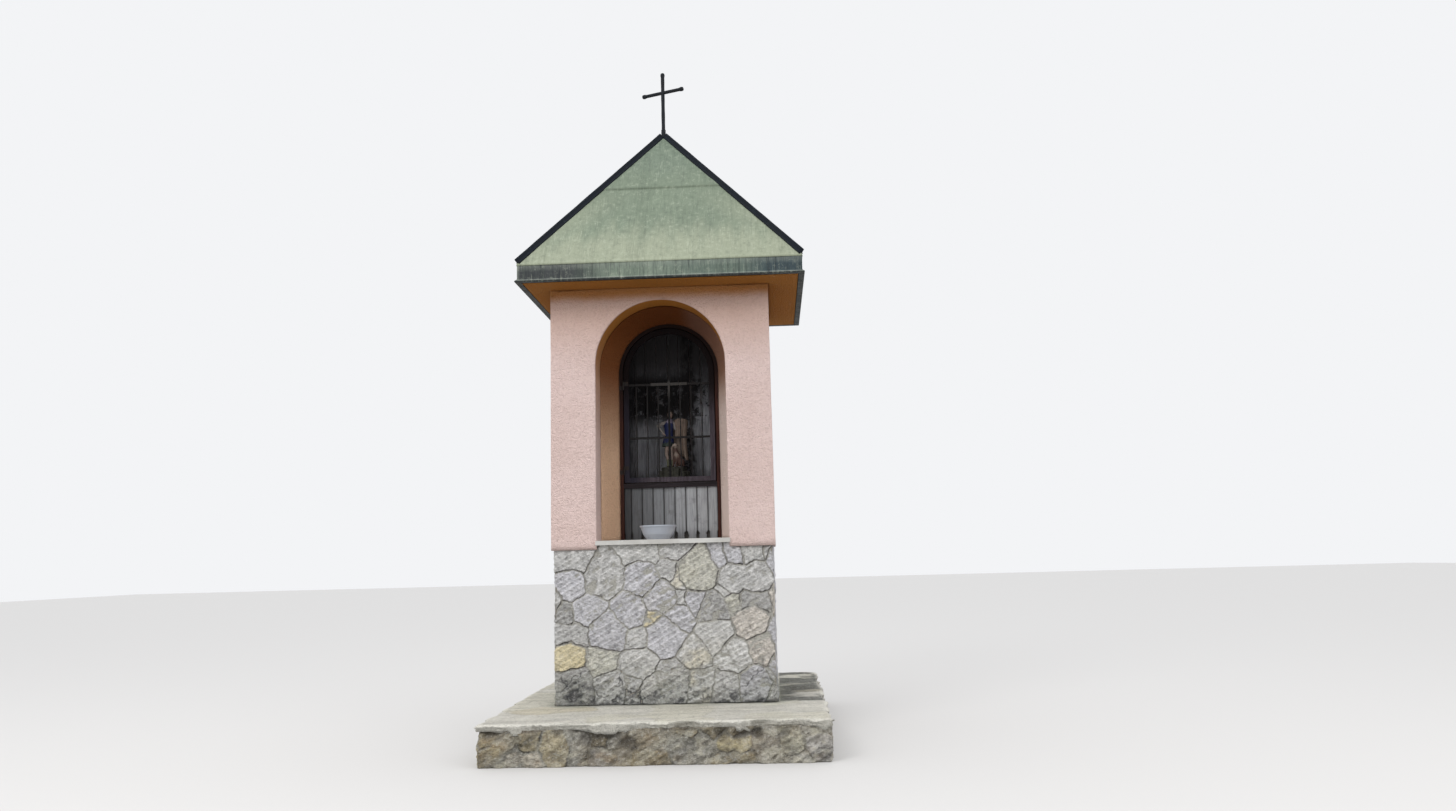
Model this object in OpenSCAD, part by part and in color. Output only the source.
// Wayside shrine: a plastered body with an arched niche, on a rubble plinth and a low stone base,
// under a steep four-sided sheet metal roof with a cross.
// Millimetres, +Z up, the front faces -Y. The origin is the middle of the base's underside.

/* [Base] */
// Width of the base over its paving
base_w = 2260; // [1800:10:2600]
// Depth of the base over its paving
base_d = 2800; // [1600:10:3200]
// Height of the base with its paving
base_h = 270; // [150:5:400]
// Thickness of the paving
paving_t = 45; // [20:5:80]
// How far the paving stands out over the rubble below it
paving_lip = 15; // [5:1:40]

/* [Plinth] */
// Height of the plinth from the paving to the plastered body
plinth_h = 1080; // [600:10:1400]
// How far each side of the plinth lies behind the body's side
plinth_side_inset = 25; // [5:1:60]
// How far the plinth's front and back lie behind the body's
plinth_front_inset = 20; // [5:1:60]
// Height of the low stone course under the sill
course_h = 30; // [10:1:60]

/* [Body] */
// Width of the plastered body
body_w = 1600; // [1400:10:1800]
// Depth of the plastered body
body_d = 1200; // [1100:10:1500]
// Height of the wall between the crown of the arch and the soffit
crown_h = 90; // [60:1:300]
// Thickness of the front wall with its niche
front_wall_t = 480; // [440:5:520]
// Thickness of each side wall
side_wall_t = 300; // [200:5:310]
// Thickness of the back wall
back_wall_t = 160; // [100:5:250]

/* [Niche] */
// Half width of the niche at the front, which is also the radius of its arch
niche_r = 478; // [430:1:485]
// Half width of the niche at the door frame
frame_r = 385; // [350:1:400]
// How far the middle of the door lies to the right of the niche's middle
door_x = 21; // [-30:1:30]
// Height of the arch's springing above the foot of the body
spring_h = 1339; // [1250:1:1380]
// Depth of the straight part of the reveal
straight_d = 220; // [100:5:260]
// Depth of the door frame in the wall
frame_d = 45; // [40:1:70]
// Thickness of the sill
sill_t = 32; // [20:1:50]
// How far the sill stands out in front of the wall
sill_nose = 15; // [5:1:40]
// How far the sill's nose reaches past each side of the niche
sill_ear = 4; // [2:1:10]

/* [Chamber] */
// Height of the shelf's top above the foot of the body
shelf_h = 530; // [480:5:600]
// Thickness of the shelf
shelf_t = 40; // [20:1:60]
// Thickness of the boards on the back wall
lining_t = 20; // [10:1:30]
// Number of boards on the back wall
lining_count = 11; // [7:1:15]
// Gap between boards
board_gap = 3; // [1:0.5:6]

/* [Door frame and lower panel] */
// Width of the door frame seen from the front
frame_w = 30; // [22:1:35]
// Width of the stop behind the leaf
stop_w = 15; // [10:1:20]
// Thickness of the stop behind the leaf
stop_t = 10; // [6:1:14]
// Clearance between the frame and the wall round it
frame_fit = 0.3; // [0.1:0.1:1]
// Height of the middle rail's top above the sill
rail_up = 433; // [300:1:450]
// Height of the middle rail
rail_h = 36; // [25:1:50]
// Thickness of the lower panel's boards
panel_t = 20; // [12:1:24]
// Width of a lower board with its gap
board_pitch = 83; // [60:1:120]
// Width of the narrow first board on the left, with its gap
first_board = 54; // [30:1:80]

/* [Grille leaf] */
// Thickness of the leaf
leaf_t = 30; // [26:1:32]
// Width of the leaf's stiles and head
leaf_w = 38; // [25:1:50]
// Height of the leaf's bottom rail
leaf_rail_h = 36; // [20:1:50]
// Clearance between the leaf and the frame, at the sides and head
leaf_gap = 8; // [6:0.5:12]
// Clearance between the leaf and the middle rail
leaf_drop = 7; // [6:0.5:12]
// Side of the square upright bars
bar_w = 8; // [6:0.5:9]
// Spacing of the upright bars
bar_pitch = 84; // [60:1:88]
// Height of each crossbar
crossbar_h = 16; // [10:1:25]
// Thickness of each crossbar, and of the cross
flat_t = 6; // [4:0.5:7]
// Height of the low crossbar above the leaf's foot
crossbar_low = 338; // [250:1:450]
// Height of the high crossbar above the leaf's foot
crossbar_high = 750; // [600:1:770]
// Width of the cross's upright
cross_w = 16; // [10:1:24]
// Height of the cross's arm
cross_arm_h = 22; // [12:1:30]
// Length of the cross's arm from end to end
cross_arm_l = 278; // [200:2:400]
// Height of the cross above the high crossbar
cross_rise = 305; // [200:5:320]

/* [Hinges] */
// Radius of a hinge's knuckle
knuckle_r = 7; // [6:0.5:8]
// Radius of the hinge pin
pin_r = 3; // [2:0.25:4]
// Clearance round the pin, and between the knuckles
pin_clear = 0.3; // [0.2:0.05:0.5]
// Height of one knuckle
knuckle_h = 31; // [20:1:50]
// Thickness of the hinge plates
plate_t = 3; // [2:0.5:4]
// Height of the lower hinge above the leaf's foot
hinge_low = 95; // [80:5:300]
// Height of the upper hinge above the leaf's foot
hinge_high = 745; // [600:5:780]

/* [Eaves] */
// How far the soffit stands out from the body at the front
eave_front = 245; // [120:1:300]
// How far the soffit stands out from the body at the back
eave_back = 232; // [120:1:300]
// How far the soffit stands out from the body on the left
eave_left = 158; // [100:1:300]
// How far the soffit stands out from the body on the right
eave_right = 222; // [100:1:300]
// Thickness of the eaves slab
slab_t = 124; // [80:2:180]
// Thickness of the fascia's board and sheet
fascia_t = 32; // [15:1:45]
// How far the fascia's hem turns outwards
hem_out = 14; // [5:1:25]
// Height of the turned hem
hem_h = 18; // [8:1:30]
// How far the hem hangs below the soffit
hem_drop = 4; // [1:1:15]

/* [Roof] */
// Height of the roof from its edge to the apex
roof_h = 1276; // [900:2:1600]
// Thickness of the sheets, measured straight down
sheet_drop = 14; // [10:1:24]
// Width of a hip's standing seam
seam_w = 10; // [6:1:16]
// Height of a standing seam above the deck
seam_h = 35; // [25:1:50]

/* [Cross on the roof] */
// Height of the cross above the roof's apex
mast_rise = 529; // [400:1:700]
// Radius of the cross's tubes
mast_r = 11; // [8:0.5:14]
// Height of the arms below the top of the cross
arm_below_top = 166; // [120:1:220]
// Length of the arms from end to end
arm_l = 360; // [260:2:440]
// Turn of the arms, seen from above
arm_turn = -17.7; // [-45:0.1:45]
// Radius of the flared ends
flare_r = 18; // [14:0.5:22]
// Length of a flared end
flare_l = 32; // [20:1:45]
// Radius of the socket at the apex
socket_r = 18; // [15:0.5:22]
// Height of the socket above the apex
socket_up = 45; // [20:1:80]
// Depth of the socket below the apex
socket_down = 71; // [60:1:120]

/* [Statue] */
// Height of the figure
figure_h = 460; // [380:5:520]
// Height of the rocky base
rock_h = 105; // [60:5:140]
// Width of the rocky base
rock_w = 280; // [240:5:340]
// Depth of the rocky base
rock_d = 240; // [200:5:270]

/* [Bowl] */
// Radius of the bowl's rim
bowl_r = 135; // [100:1:150]
// Radius of the bowl's foot
bowl_foot_r = 80; // [50:1:95]
// Height of the bowl
bowl_h = 105; // [80:1:130]
// Wall of the bowl
bowl_wall = 6; // [4:0.5:10]
// Distance of the bowl's middle behind the wall's front
bowl_back = 220; // [180:5:260]
// Distance of the bowl's middle to the left of the niche's middle
bowl_left = 55; // [0:5:120]

/* [Hidden] */

// Colours as the photograph shows them
salmon = [0.86, 0.71, 0.66];
ochre = [0.70, 0.50, 0.33];
rubble = [0.66, 0.64, 0.62];
flags = [0.78, 0.75, 0.68];
white_stone = [0.90, 0.89, 0.86];
patina = [0.46, 0.54, 0.42];
dark_metal = [0.17, 0.20, 0.19];
brown_wood = [0.26, 0.17, 0.15];
grey_wood = [0.55, 0.56, 0.57];
iron = [0.50, 0.50, 0.50];
$fn = 64;

// Heights
body_z = base_h + plinth_h;
body_h = spring_h + niche_r + crown_h;
course_z = body_z + course_h;
sill_z = course_z + sill_t;
spring_z = body_z + spring_h;
soffit_z = body_z + body_h;
shelf_z = body_z + shelf_h;
rail_z = sill_z + rail_up;
leaf_z = rail_z + leaf_drop;

// Places from front to back
front_y = -body_d / 2;
straight_y = front_y + straight_d;
chamber_y = front_y + front_wall_t;
door_y = chamber_y - frame_d;
back_y = body_d / 2 - back_wall_t;
stop_y = chamber_y - stop_t;

// Door sizes
opening_r = frame_r - frame_w;
leaf_r = opening_r - leaf_gap;
leaf_in = leaf_r - leaf_w;
hinge_x = -opening_r + leaf_gap / 2 + 1;
hinge_y = door_y - knuckle_r;
bars_y = door_y + 2 * flat_t + 1;

// Eaves and roof
slab_low = [-body_w / 2 - eave_left, -body_d / 2 - eave_front];
slab_high = [body_w / 2 + eave_right, body_d / 2 + eave_back];
roof_low = slab_low - [fascia_t, fascia_t];
roof_high = slab_high + [fascia_t, fascia_t];
roof_corners = [roof_low, [roof_high[0], roof_low[1]], roof_high, [roof_low[0], roof_high[1]]];
deck_z = soffit_z + slab_t;
edge_z = deck_z + sheet_drop;
apex_z = edge_z + roof_h;
mast_z = apex_z + mast_rise;
socket_z = apex_z - socket_down;
past = 1;

// Shared outlines and forms

// Block between two corners
module block(low, high) {
    translate(low) cube(high - low);
}

// Arch outline in x and z: a half circle of radius r on straight sides down to depth foot
module arch_outline(r, foot) {
    circle(r = r, $fn = 96);
    translate([-r, -foot]) square([2 * r, foot]);
}

// Place of the door and its leaf, to the right of the niche's middle
module at_door() {
    translate([door_x, 0, 0]) children();
}

// Upright arch ring between two radii, from y_front to y_back, on the springing line
module arch_ring(r_out, r_in, foot, y_front, y_back) {
    translate([0, y_back, spring_z]) rotate([90, 0, 0]) linear_extrude(y_back - y_front)
        difference() {
            arch_outline(r_out, foot);
            arch_outline(r_in, foot + past);
        }
}

// Plan of the niche's floor, behind the line y_front
module niche_plan(y_front) {
    left = door_x - frame_r;
    right = door_x + frame_r;
    polygon([[-niche_r, y_front], [niche_r, y_front], [niche_r, straight_y], [right, door_y],
        [right, chamber_y], [left, chamber_y], [left, door_y], [-niche_r, straight_y]]);
}

// Plan of one side of the splayed reveal; side is -1 on the left and 1 on the right
module reveal_side(side) {
    x_in = door_x + side * frame_r;
    translate([0, 0, body_z]) linear_extrude(spring_h)
        polygon([[side * niche_r, straight_y], [x_in, door_y], [x_in, chamber_y],
            [side * niche_r, chamber_y]]);
}

// Pier beside the niche
module front_pier(side) {
    x_in = side * niche_r;
    x_out = side * body_w / 2;
    block([min(x_in, x_out), front_y, body_z], [max(x_in, x_out), chamber_y, spring_z]);
}

// Side wall of the chamber
module side_wall(side) {
    x_in = side * (body_w / 2 - side_wall_t);
    x_out = side * body_w / 2;
    block([min(x_in, x_out), chamber_y, body_z], [max(x_in, x_out), back_y, soffit_z]);
}

// Four square bars along the hips, as long as the hips
module hip_bars() {
    for (corner = roof_corners) {
        slope = atan2(roof_h, norm(corner));
        translate([0, 0, apex_z]) rotate([0, 0, atan2(corner[1], corner[0])]) rotate([0, slope, 0])
            translate([0, -seam_w / 2, -sheet_drop * cos(slope)])
                cube([norm([norm(corner), roof_h]), seam_w, seam_h]);
    }
}

// Upright strips over the hips, which the seams take from the sheets
module hip_strips() {
    for (corner = roof_corners)
        translate([0, 0, soffit_z]) rotate([0, 0, atan2(corner[1], corner[0])])
            translate([0, -seam_w / 2, 0])
                cube([norm(corner) + seam_h, seam_w, apex_z - soffit_z + past]);
}

// Round space that the socket takes at the apex
module socket_space(r) {
    translate([0, 0, socket_z]) cylinder(r = r, h = socket_down + socket_up + seam_h);
}

// Sheet on one slope between two corners of the roof's edge and the apex
module roof_sheet(p, q) {
    corners = [[p[0], p[1], edge_z], [q[0], q[1], edge_z], [0, 0, apex_z]];
    under = [for (c = corners) c - [0, 0, sheet_drop]];
    difference() {
        polyhedron(points = concat(corners, under),
            faces = [[0, 2, 1], [0, 1, 4, 3], [3, 4, 5], [1, 2, 5, 4], [2, 0, 3, 5]]);
        hip_strips();
        socket_space(socket_r);
    }
}

// Fascia along the eaves from x left to x right, at depth out in front, mitred at both ends
module fascia(left, right, out) {
    hem_z = soffit_z - hem_drop;
    thick = fascia_t + hem_out;
    intersection() {
        translate([left - thick, 0, 0]) rotate([90, 0, 90]) linear_extrude(right - left + 2 * thick)
            polygon([[-out, hem_z], [-out - thick, hem_z], [-out - fascia_t, hem_z + hem_h],
                [-out - fascia_t, deck_z], [-out, deck_z]]);
        translate([0, 0, hem_z - past]) linear_extrude(deck_z - hem_z + 2 * past)
            polygon([[left, -out], [right, -out], [right + thick, -out - thick],
                [left - thick, -out - thick]]);
    }
}

// Flared end of a tube, along z with its foot at the origin
module flare() {
    rotate_extrude()
        polygon([[0, 0], [mast_r, 0], [flare_r, flare_l * 0.55], [flare_r * 0.8, flare_l], [0, flare_l]]);
}

// Limb between two balls
module limb(a, b, r_a, r_b) {
    hull() {
        translate(a) sphere(r = r_a, $fn = 16);
        translate(b) sphere(r = r_b, $fn = 16);
    }
}

// Base and plinth

module base_step() {
    color(rubble)
        block([paving_lip - base_w / 2, paving_lip - base_d / 2, 0],
            [base_w / 2 - paving_lip, base_d / 2 - paving_lip, base_h - paving_t]);
}

module base_paving() {
    color(flags)
        block([-base_w / 2, -base_d / 2, base_h - paving_t], [base_w / 2, base_d / 2, base_h]);
}

module plinth() {
    x = body_w / 2 - plinth_side_inset;
    y = body_d / 2 - plinth_front_inset;
    color(rubble) {
        block([-x, -y, base_h], [x, y, body_z]);
        translate([0, 0, body_z]) linear_extrude(course_h) niche_plan(-y);
    }
}

// Body

module front_pier_left() { color(salmon) front_pier(-1); }
module front_pier_right() { color(salmon) front_pier(1); }
module side_wall_left() { color(salmon) side_wall(-1); }
module side_wall_right() { color(salmon) side_wall(1); }

module back_wall() {
    color(salmon) block([-body_w / 2, back_y, body_z], [body_w / 2, body_d / 2, soffit_z]);
}

module front_arch() {
    color(salmon) difference() {
        block([-body_w / 2, front_y, spring_z], [body_w / 2, chamber_y, soffit_z]);
        translate([0, chamber_y + past, spring_z]) rotate([90, 0, 0])
            cylinder(r = niche_r, h = front_wall_t + 2 * past, $fn = 96);
    }
}

// Niche

module reveal_left() { color(ochre) reveal_side(-1); }
module reveal_right() { color(ochre) reveal_side(1); }

// The half ring over the reveals; its splay is a cone that leans to the door's middle
module reveal_arch() {
    n = 96;
    color(ochre) translate([0, 0, spring_z]) difference() {
        translate([0, chamber_y, 0]) rotate([90, 0, 0])
            rotate_extrude(angle = 180, $fn = n) square([niche_r, chamber_y - straight_y]);
        hull() {
            translate([0, straight_y, 0]) rotate([90, 0, 0])
                cylinder(r = niche_r / cos(180 / n), h = past / 10, $fn = n);
            translate([door_x, door_y, 0]) rotate([90, 0, 0])
                cylinder(r = frame_r / cos(180 / n), h = past / 10, $fn = n);
        }
        translate([door_x, chamber_y + past, 0]) rotate([90, 0, 0])
            cylinder(r = frame_r, h = chamber_y - door_y + 2 * past, $fn = n);
    }
}

module sill() {
    color(white_stone) translate([0, 0, course_z]) linear_extrude(sill_t) {
        niche_plan(front_y);
        translate([-niche_r - sill_ear, front_y - sill_nose])
            square([2 * (niche_r + sill_ear), sill_nose]);
    }
}

// Chamber behind the door

module altar_block() {
    x = body_w / 2 - side_wall_t;
    color(ochre) block([-x, chamber_y, body_z], [x, back_y, shelf_z - shelf_t]);
}

module altar_shelf() {
    x = body_w / 2 - side_wall_t;
    color(flags) block([-x, chamber_y, shelf_z - shelf_t], [x, back_y, shelf_z]);
}

module back_boards() {
    x = body_w / 2 - side_wall_t;
    pitch = 2 * x / lining_count;
    color(grey_wood) for (i = [0 : lining_count - 1])
        block([-x + i * pitch + board_gap / 2, back_y - lining_t, shelf_z],
            [-x + (i + 1) * pitch - board_gap / 2, back_y, soffit_z]);
}

// Eaves and roof

module eaves_slab() {
    color(ochre) block([slab_low[0], slab_low[1], soffit_z], [slab_high[0], slab_high[1], deck_z]);
}

module fascia_front() { color(dark_metal) fascia(slab_low[0], slab_high[0], -slab_low[1]); }
module fascia_back() {
    color(dark_metal) rotate([0, 0, 180]) fascia(-slab_high[0], -slab_low[0], slab_high[1]);
}
module fascia_left() {
    color(dark_metal) rotate([0, 0, -90]) fascia(-slab_high[1], -slab_low[1], -slab_low[0]);
}
module fascia_right() {
    color(dark_metal) rotate([0, 0, 90]) fascia(slab_low[1], slab_high[1], slab_high[0]);
}

module roof_deck() {
    color(brown_wood) difference() {
        polyhedron(points = [for (c = roof_corners) [c[0], c[1], deck_z], [0, 0, apex_z - sheet_drop]],
            faces = [[0, 1, 2, 3], [1, 0, 4], [2, 1, 4], [3, 2, 4], [0, 3, 4]]);
        socket_space(socket_r);
    }
}

module roof_front() { color(patina) roof_sheet(roof_corners[0], roof_corners[1]); }
module roof_right() { color(patina) roof_sheet(roof_corners[1], roof_corners[2]); }
module roof_back() { color(patina) roof_sheet(roof_corners[2], roof_corners[3]); }
module roof_left() { color(patina) roof_sheet(roof_corners[3], roof_corners[0]); }

module hip_seams() {
    color(dark_metal) difference() {
        intersection() {
            hip_bars();
            block([roof_low[0], roof_low[1], deck_z], [roof_high[0], roof_high[1], mast_z]);
        }
        socket_space(socket_r);
    }
}

// Cross on the roof

module cross_socket() {
    color(dark_metal) translate([0, 0, socket_z]) difference() {
        cylinder(r = socket_r, h = socket_down + socket_up);
        translate([0, 0, -past]) cylinder(r = mast_r + pin_clear, h = socket_down + socket_up + 2 * past);
    }
}

module cross_post() {
    color(dark_metal) translate([0, 0, socket_z]) {
        cylinder(r = mast_r, h = mast_z - flare_l - socket_z);
        translate([0, 0, mast_z - flare_l - socket_z]) flare();
    }
}

module cross_arms() {
    tube_l = arm_l / 2 - flare_l;
    color(dark_metal) translate([0, 0, mast_z - arm_below_top]) rotate([0, 0, arm_turn])
        difference() {
            union() {
                translate([-tube_l, 0, 0]) rotate([0, 90, 0]) cylinder(r = mast_r - 1, h = 2 * tube_l);
                for (side = [-1, 1])
                    translate([side * tube_l, 0, 0]) rotate([0, side * 90, 0]) flare();
            }
            translate([0, 0, -2 * mast_r]) cylinder(r = mast_r, h = 4 * mast_r);
        }
}

// Door frame and lower panel

module door_frame() {
    foot = spring_z - sill_z;
    color(brown_wood) at_door() {
        arch_ring(frame_r - frame_fit, opening_r, foot, door_y, chamber_y);
        arch_ring(opening_r + past, opening_r - stop_w, foot, stop_y, chamber_y);
    }
}

module middle_rail() {
    color(brown_wood) at_door()
        block([-opening_r, door_y, rail_z - rail_h], [opening_r, stop_y, rail_z]);
}

// The boards stand on the sill under the middle rail; the first on the left is narrow
module panel_boards() {
    edges = [-opening_r, for (x = [-opening_r + first_board : board_pitch : opening_r - board_pitch / 2]) x,
        opening_r];
    color(grey_wood) at_door() for (i = [0 : len(edges) - 2])
        block([edges[i] + (i == 0 ? 0 : board_gap / 2), stop_y - panel_t, sill_z],
            [edges[i + 1] - (i == len(edges) - 2 ? 0 : board_gap / 2), stop_y, rail_z - rail_h]);
}

// Grille leaf

module leaf_frame() {
    foot = spring_z - leaf_z;
    color(brown_wood) translate([door_x, door_y + leaf_t, spring_z]) rotate([90, 0, 0])
        linear_extrude(leaf_t) difference() {
            arch_outline(leaf_r, foot);
            arch_outline(leaf_in, foot - leaf_rail_h);
        }
}

// Three bars on each side of the cross's upright, which stands in the middle
module leaf_bars() {
    color(iron) at_door() for (side = [-1, 1], i = [1 : 3]) {
        x = side * i * bar_pitch;
        block([x - bar_w / 2, bars_y, leaf_z + leaf_rail_h],
            [x + bar_w / 2, bars_y + bar_w, leaf_z + crossbar_high + crossbar_h / 2]);
    }
}

module leaf_crossbars() {
    color(iron) at_door() for (h = [crossbar_low, crossbar_high])
        block([-leaf_in, bars_y - flat_t, leaf_z + h - crossbar_h / 2],
            [leaf_in, bars_y, leaf_z + h + crossbar_h / 2]);
}

module leaf_cross() {
    y_back = bars_y - flat_t;
    arm_z = leaf_z + crossbar_high;
    color(iron) at_door() {
        block([-cross_w / 2, y_back - flat_t, leaf_z + leaf_rail_h],
            [cross_w / 2, y_back, arm_z + cross_rise]);
        block([-cross_arm_l / 2, y_back - flat_t, arm_z - cross_arm_h / 2],
            [cross_arm_l / 2, y_back, arm_z + cross_arm_h / 2]);
    }
}

// Hinges: a pin stands in the frame's knuckle, and the leaf's knuckle turns on it

module hinge_pintles() {
    color(iron) at_door() for (h = [hinge_low, hinge_high])
        translate([hinge_x, hinge_y, leaf_z + h]) {
            translate([0, 0, -knuckle_h]) cylinder(r = knuckle_r, h = knuckle_h);
            translate([0, 0, -past]) cylinder(r = pin_r, h = knuckle_h + 2 * past);
            block([-frame_r - hinge_x + plate_t, knuckle_r - plate_t, -knuckle_h], [0, knuckle_r, 0]);
        }
}

module hinge_eyes() {
    color(iron) at_door() for (h = [hinge_low, hinge_high])
        translate([hinge_x, hinge_y, leaf_z + h + pin_clear]) difference() {
            union() {
                cylinder(r = knuckle_r, h = knuckle_h);
                block([0, knuckle_r - plate_t, 0], [leaf_w, knuckle_r, knuckle_h]);
            }
            translate([0, 0, -past]) cylinder(r = pin_r + pin_clear, h = knuckle_h + 2 * past);
        }
}

// Statue, facing the front, on a rocky base in the middle of the shelf

statue_y = (chamber_y + back_y) / 2 - 10;
rock_z = shelf_z + rock_h;

// The figure, cloak and dog are drawn for a figure 460 mm tall and scaled evenly to its height
module at_statue() {
    translate([0, statue_y, rock_z]) scale(figure_h / 460) children();
}

// Height of a limb's ball that rests on the rock
function rest(r) = r * cos(180 / 16);

// Thin oval slice, for the hulls of the tunic and the boots
module slice(x, y, z, r_x, r_y) {
    translate([x, y, z]) linear_extrude(4)
        polygon([for (a = [0 : 20 : 340]) [r_x * cos(a), r_y * sin(a)]]);
}

module statue_rock() {
    color([0.25, 0.24, 0.22]) for (tier = [0, 1])
        translate([25, statue_y - 12, shelf_z + tier * rock_h * 0.55])
            linear_extrude(rock_h * (tier == 0 ? 0.55 : 0.45))
                polygon([for (i = [0 : 10])
                    let (a = i * 360 / 11, k = (1 - 0.14 * tier) * (1 - 0.10 * ((i * 5) % 3) / 2))
                        [k * rock_w / 2 * cos(a), k * rock_d / 2 * sin(a)]]);
}

module statue_figure() {
    color([0.16, 0.26, 0.62]) at_statue() {
        for (foot = [[-22, -16], [14, 2]])
            hull() {
                slice(foot[0], foot[1] - 8, 0, 13, 24);
                slice(foot[0], foot[1], 22, 12, 15);
            }
        limb([-21, -12, 24], [-34, -2, 108], 12, 16);
        limb([-34, -2, 108], [-28, 4, 190], 16, 22);
        limb([13, 6, 24], [4, 4, 190], 12, 22);
        hull() {
            slice(-20, 2, 172, 46, 36);
            slice(-14, 2, 268, 32, 24);
        }
        hull() {
            slice(-14, 2, 268, 32, 24);
            slice(-12, 2, 340, 40, 27);
            slice(-10, 2, 372, 24, 17);
        }
        hull() {
            slice(-6, 0, 370, 16, 15);
            slice(-2, -3, 396, 15, 15);
        }
        hull() {
            translate([-1, -8, 414]) sphere(r = 26, $fn = 20);
            translate([0, 2, 429]) sphere(r = 31, $fn = 20);
        }
        limb([-44, 2, 358], [-102, 2, 336], 15, 12);
        limb([-102, 2, 336], [-56, -24, 270], 12, 10);
    }
}

// The cloak hangs over the shoulder and the bent arm, and down the back
module statue_cloak() {
    color([0.80, 0.66, 0.50]) at_statue() {
        translate([0, 38, 0]) rotate([90, 0, 0]) linear_extrude(50)
            polygon([[32, 236], [34, 330], [34, 376], [58, 388], [110, 384], [130, 345], [140, 285],
                [126, 190], [120, 110], [144, 50], [118, 50], [92, 110], [90, 205], [72, 236]]);
        translate([0, 50, 0]) rotate([90, 0, 0]) linear_extrude(12)
            polygon([[-44, 90], [-40, 250], [-26, 372], [58, 388], [110, 384], [130, 345], [140, 285],
                [126, 190], [112, 90]]);
    }
}

// The dog sits in front of the figure and looks up
module statue_dog() {
    color([0.42, 0.27, 0.20]) at_statue() translate([0, -66, 0]) {
        limb([80, 14, rest(31)], [48, 4, 104], 31, 23);
        limb([26, -10, rest(8)], [34, -4, 96], 8, 12);
        limb([50, -16, rest(8)], [46, -8, 96], 8, 12);
        limb([46, 2, 112], [38, 2, 152], 22, 17);
        limb([38, 2, 168], [20, -16, 162], 21, 11);
    }
}

// Bowl on the sill

module bowl_place() {
    translate([-bowl_left, front_y + bowl_back, sill_z]) children();
}

module flower_bowl() {
    color(white_stone) bowl_place() rotate_extrude()
        polygon([[0, 0], [bowl_foot_r, 0], [bowl_foot_r + (bowl_r - bowl_foot_r) * 0.55, bowl_h * 0.38],
            [bowl_r - bowl_wall, bowl_h * 0.9], [bowl_r, bowl_h * 0.9], [bowl_r, bowl_h],
            [bowl_r - 2 * bowl_wall, bowl_h],
            [bowl_foot_r + (bowl_r - bowl_foot_r) * 0.55 - bowl_wall, bowl_h * 0.38 + bowl_wall / 2],
            [bowl_foot_r - bowl_wall, bowl_wall], [0, bowl_wall]]);
}

module bowl_soil() {
    r_low = bowl_foot_r + (bowl_r - bowl_foot_r) * 0.55 - bowl_wall - 1;
    color([0.20, 0.15, 0.11]) bowl_place() translate([0, 0, bowl_wall]) rotate_extrude()
        polygon([[0, 0], [bowl_foot_r - bowl_wall - 2, 0], [r_low - 2, bowl_h * 0.38 - bowl_wall / 2],
            [r_low + 6, bowl_h * 0.62], [0, bowl_h * 0.68]]);
}

base_step();
base_paving();
plinth();
sill();
front_pier_left();
front_pier_right();
reveal_left();
reveal_right();
front_arch();
reveal_arch();
side_wall_left();
side_wall_right();
back_wall();
altar_block();
altar_shelf();
back_boards();
eaves_slab();
roof_deck();
roof_front();
roof_back();
roof_left();
roof_right();
hip_seams();
fascia_front();
fascia_back();
fascia_left();
fascia_right();
cross_socket();
cross_post();
cross_arms();
door_frame();
middle_rail();
panel_boards();
hinge_pintles();
leaf_frame();
leaf_bars();
leaf_crossbars();
leaf_cross();
hinge_eyes();
statue_rock();
statue_figure();
statue_cloak();
statue_dog();
flower_bowl();
bowl_soil();
